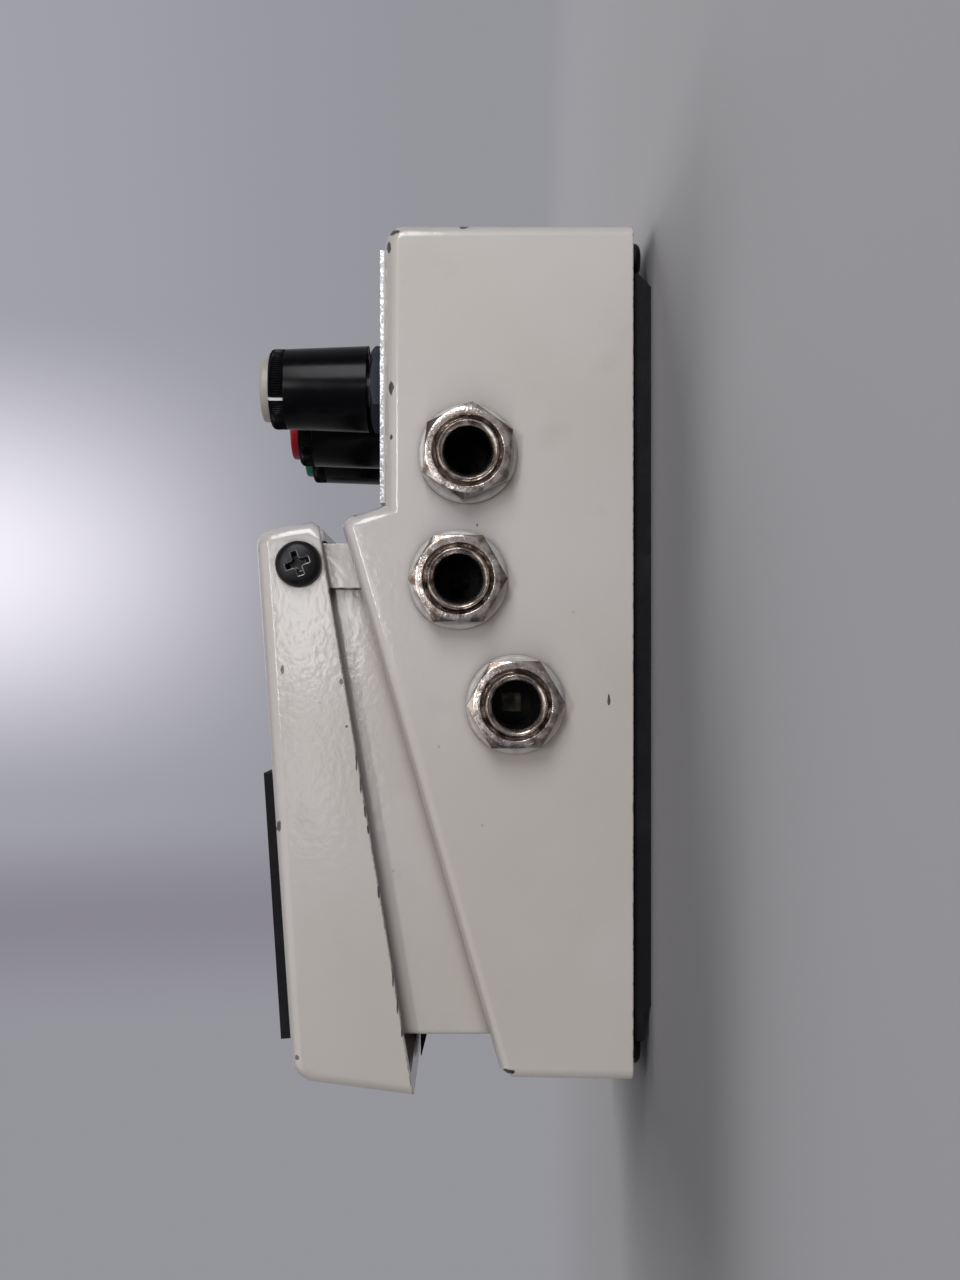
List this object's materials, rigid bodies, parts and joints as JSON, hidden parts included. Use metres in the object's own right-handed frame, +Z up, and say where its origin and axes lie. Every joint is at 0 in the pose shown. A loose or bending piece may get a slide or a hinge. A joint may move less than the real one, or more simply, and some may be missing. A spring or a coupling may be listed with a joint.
{
  "type": "foot pedal",
  "caption": "Die-cast foot pedal with a hinged spring treadle, side jacks, level and selector knobs, battery bay and rubber base.",
  "frame": {"origin": "on the floor at the centre of the overall box, at the underside of the base rubber", "axes": "+Z up, +Y to the rear (the knob end), +X to the right, the side the picture shows"},
  "size_m": [0.0824, 0.129, 0.0598],
  "materials": {
    "cream_paint": "satin cast paint",
    "nickel": "worn nickel plate",
    "bright_steel": "satin",
    "black_steel": "black finished steel",
    "blackened_nut": "dark plated",
    "black_plastic": "gloss",
    "black_rubber": "matte",
    "white_plastic": "satin",
    "green_board": "solder mask",
    "cap_cream": "satin",
    "cap_red": "satin",
    "cap_green": "satin",
    "led_red": "translucent red",
    "aluminium": "brushed",
    "battery_wrap": "printed sleeve, plain"
  },
  "bodies": {
    "case": {"enclosure": "cream_paint", "bottom_cover": "bright_steel", "base_rubber": "black_rubber", "base_screw_rear_left": "black_steel", "base_screw_rear_right": "black_steel", "base_screw_front_left": "black_steel", "base_screw_front_right": "black_steel", "control_plate": "aluminium", "mode_switch": "bright_steel", "mode_nut": "blackened_nut", "pot_level_a": "bright_steel", "pot_level_b": "bright_steel", "pot_nut_a": "nickel", "pot_nut_b": "nickel", "led": "led_red", "jack_socket_right_1": "nickel", "jack_washer_right_1": "nickel", "jack_nut_right_1": "nickel", "jack_socket_right_2": "nickel", "jack_washer_right_2": "nickel", "jack_nut_right_2": "nickel", "jack_socket_right_3": "nickel", "jack_washer_right_3": "nickel", "jack_nut_right_3": "nickel", "jack_socket_left_1": "nickel", "jack_washer_left_1": "nickel", "jack_nut_left_1": "nickel", "jack_socket_left_2": "nickel", "jack_washer_left_2": "nickel", "jack_nut_left_2": "nickel", "jack_socket_left_3": "nickel", "jack_washer_left_3": "nickel", "jack_nut_left_3": "nickel", "dc_socket": "black_plastic", "main_board": "green_board", "foot_switch": "black_plastic", "switch_board": "green_board", "battery": "battery_wrap", "battery_snap": "black_plastic", "battery_lead": "black_plastic", "treadle_spring": "bright_steel", "hinge_screw_right": "black_steel", "hinge_screw_left": "black_steel"},
    "hinge_bushes": {"hinge_bush_right": "white_plastic", "hinge_bush_left": "white_plastic"},
    "treadle": {"treadle": "cream_paint", "treadle_pad": "black_rubber", "guide_bush": "black_plastic", "switch_plunger": "black_rubber"},
    "thumbscrew": {"thumbscrew": "black_steel"},
    "foot_switch_button": {"foot_switch_button": "white_plastic"},
    "knob_level_a": {"knob_level_a": "black_plastic", "cap_level_a": "cap_green", "shaft_level_a": "bright_steel"},
    "knob_level_b": {"knob_level_b": "black_plastic", "cap_level_b": "cap_red", "shaft_level_b": "bright_steel"},
    "knob_mode": {"knob_mode": "black_plastic", "cap_mode": "cap_cream", "shaft_mode": "bright_steel"}
  },
  "joints": [
    {"name": "treadle_open", "type": "hinge", "parent": "case", "child": "hinge_bushes", "pos_m": [0, 0.01425, 0.0521], "axis": [-1, 0, 0], "range_deg": [0, 75]},
    {"name": "treadle_press", "type": "hinge", "parent": "hinge_bushes", "child": "treadle", "pos_m": [0, 0.01425, 0.0521], "axis": [-1, 0, 0], "range_deg": [-2.5, 0], "stiffness_Nm_per_rad": 3.75, "springref_deg": 3.15, "deforming": ["treadle_spring"]},
    {"name": "foot_switch_press", "type": "slide", "parent": "case", "child": "foot_switch_button", "axis": [0, 0, 1], "range_m": [-0.0022, 0], "stiffness_N_per_m": 200, "springref_m": 0.001},
    {"name": "level_a_turn", "type": "hinge", "parent": "case", "child": "knob_level_a", "pos_m": [-0.0207, 0.0405, 0.0406], "axis": [0, 0, 1], "range_deg": [-150, 150]},
    {"name": "level_b_turn", "type": "hinge", "parent": "case", "child": "knob_level_b", "pos_m": [0, 0.0405, 0.0406], "axis": [0, 0, 1], "range_deg": [-150, 150]},
    {"name": "mode_turn", "type": "hinge", "parent": "case", "child": "knob_mode", "pos_m": [0.0207, 0.0432, 0.0427], "axis": [0, 0, 1], "range_deg": [-46, 254]},
    {"name": "thumbscrew_turn", "type": "hinge", "parent": "hinge_bushes", "child": "thumbscrew", "pos_m": [0, -0.0573, 0.0385], "axis": [0, 0, 1], "continuous": true}
  ],
  "couplings": [
    {"joint": "foot_switch_press", "follows": "treadle_press", "m_per_rad": 0.04975}
  ]
}
